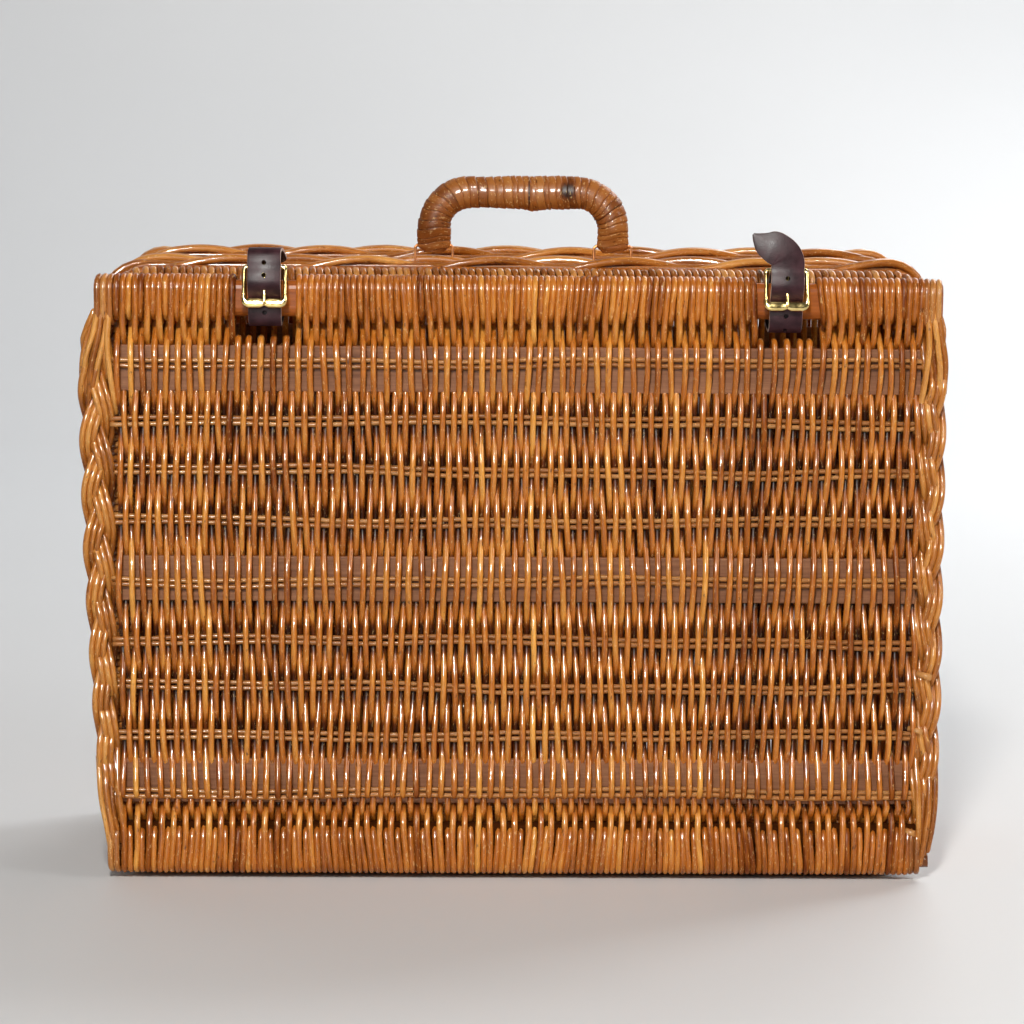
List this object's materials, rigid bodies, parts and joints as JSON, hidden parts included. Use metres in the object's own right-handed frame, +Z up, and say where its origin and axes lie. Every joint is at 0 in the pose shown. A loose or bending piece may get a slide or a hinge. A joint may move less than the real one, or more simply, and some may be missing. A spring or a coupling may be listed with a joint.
{
  "type": "wicker picnic basket",
  "caption": "Rectangular wicker case with a woven lid hinged along a long side, leather straps with brass buckles, and a cane-wrapped handle that folds down.",
  "frame": {"origin": "centre of the case's width and depth, on the surface it stands on", "axes": "+X to the right along the long side, +Y from the lid at the front to the base at the back, +Z up through the handle"},
  "size_m": [0.5293, 0.1872, 0.434],
  "materials": {
    "cane": "varnished golden-brown cane, woven",
    "cane_dark": "varnished darker cane rods",
    "cane_plait": "varnished orange-brown cane, plaited",
    "cane_wrap": "varnished tan cane, wound closely",
    "slat": "flat pinkish-brown wooden slat, matt",
    "handle_cane": "glossy flat cane strip, wound",
    "handle_core": "plain rod",
    "leather": "dark maroon-brown leather with pale cut edges",
    "brass": "polished, slightly worn",
    "staple_wire": "dull copper-brown wire"
  },
  "bodies": {
    "basket": {"body_walls": "cane", "base_weave": "cane", "base_slat_top": "slat", "base_slat_middle": "slat", "base_slat_bottom": "slat", "base_plait": "cane_plait", "rim_plait": "cane_plait", "rim_hoop": "cane_dark", "rim_wrap": "cane_wrap", "rim_wrap_bottom_left": "cane_wrap", "rim_wrap_bottom_right": "cane_wrap", "hinge_loop_left": "cane_dark", "hinge_loop_middle": "cane_dark", "hinge_loop_right": "cane_dark", "handle_wire_left": "staple_wire", "handle_wire_right": "staple_wire", "strap_left": "leather", "strap_right": "leather", "strap_rivet_left": "brass", "strap_rivet_right": "brass"},
    "lid": {"lid_weave": "cane", "lid_slat_top": "slat", "lid_slat_middle": "slat", "lid_slat_bottom": "slat", "lid_top_rail": "cane_dark", "lid_bottom_rail": "cane_dark", "lid_hinge_rod": "cane_dark", "lid_top_wrap_left": "cane_wrap", "lid_top_wrap_middle": "cane_wrap", "lid_top_wrap_right": "cane_wrap", "lid_bottom_wrap_left": "cane_wrap", "lid_bottom_wrap_middle_left": "cane_wrap", "lid_bottom_wrap_middle_right": "cane_wrap", "lid_bottom_wrap_right": "cane_wrap", "lid_plait_left": "cane_plait", "lid_plait_right": "cane_plait", "chape_left": "leather", "chape_right": "leather"},
    "handle": {"handle_wrap": "handle_cane", "handle_core": "handle_core"},
    "buckle_left": {"buckle_frame_left": "brass"},
    "buckle_right": {"buckle_frame_right": "brass"},
    "prong_left": {"buckle_prong_left": "brass"},
    "prong_right": {"buckle_prong_right": "brass"}
  },
  "joints": [
    {"name": "lid_hinge", "type": "hinge", "parent": "basket", "child": "lid", "pos_m": [0, -0.0759, 0.0115], "axis": [1, 0, 0], "range_deg": [0, 88], "deforming": ["strap_left", "strap_right"]},
    {"name": "handle_hinge", "type": "hinge", "parent": "basket", "child": "handle", "pos_m": [0.0025, -0.03355, 0.3909], "axis": [1, 0, 0], "range_deg": [-68, 68]},
    {"name": "buckle_left_hinge", "type": "hinge", "parent": "lid", "child": "buckle_left", "pos_m": [-0.15382, -0.0834, 0.3795], "axis": [-1, 0, 0], "range_deg": [0, 90]},
    {"name": "prong_left_hinge", "type": "hinge", "parent": "buckle_left", "child": "prong_left", "pos_m": [-0.15382, -0.0834, 0.3795], "axis": [-1, 0, 0], "range_deg": [0, 70]},
    {"name": "buckle_right_hinge", "type": "hinge", "parent": "lid", "child": "buckle_right", "pos_m": [0.16032, -0.0834, 0.3795], "axis": [-1, 0, 0], "range_deg": [0, 90]},
    {"name": "prong_right_hinge", "type": "hinge", "parent": "buckle_right", "child": "prong_right", "pos_m": [0.16032, -0.0834, 0.3795], "axis": [-1, 0, 0], "range_deg": [0, 70]}
  ]
}
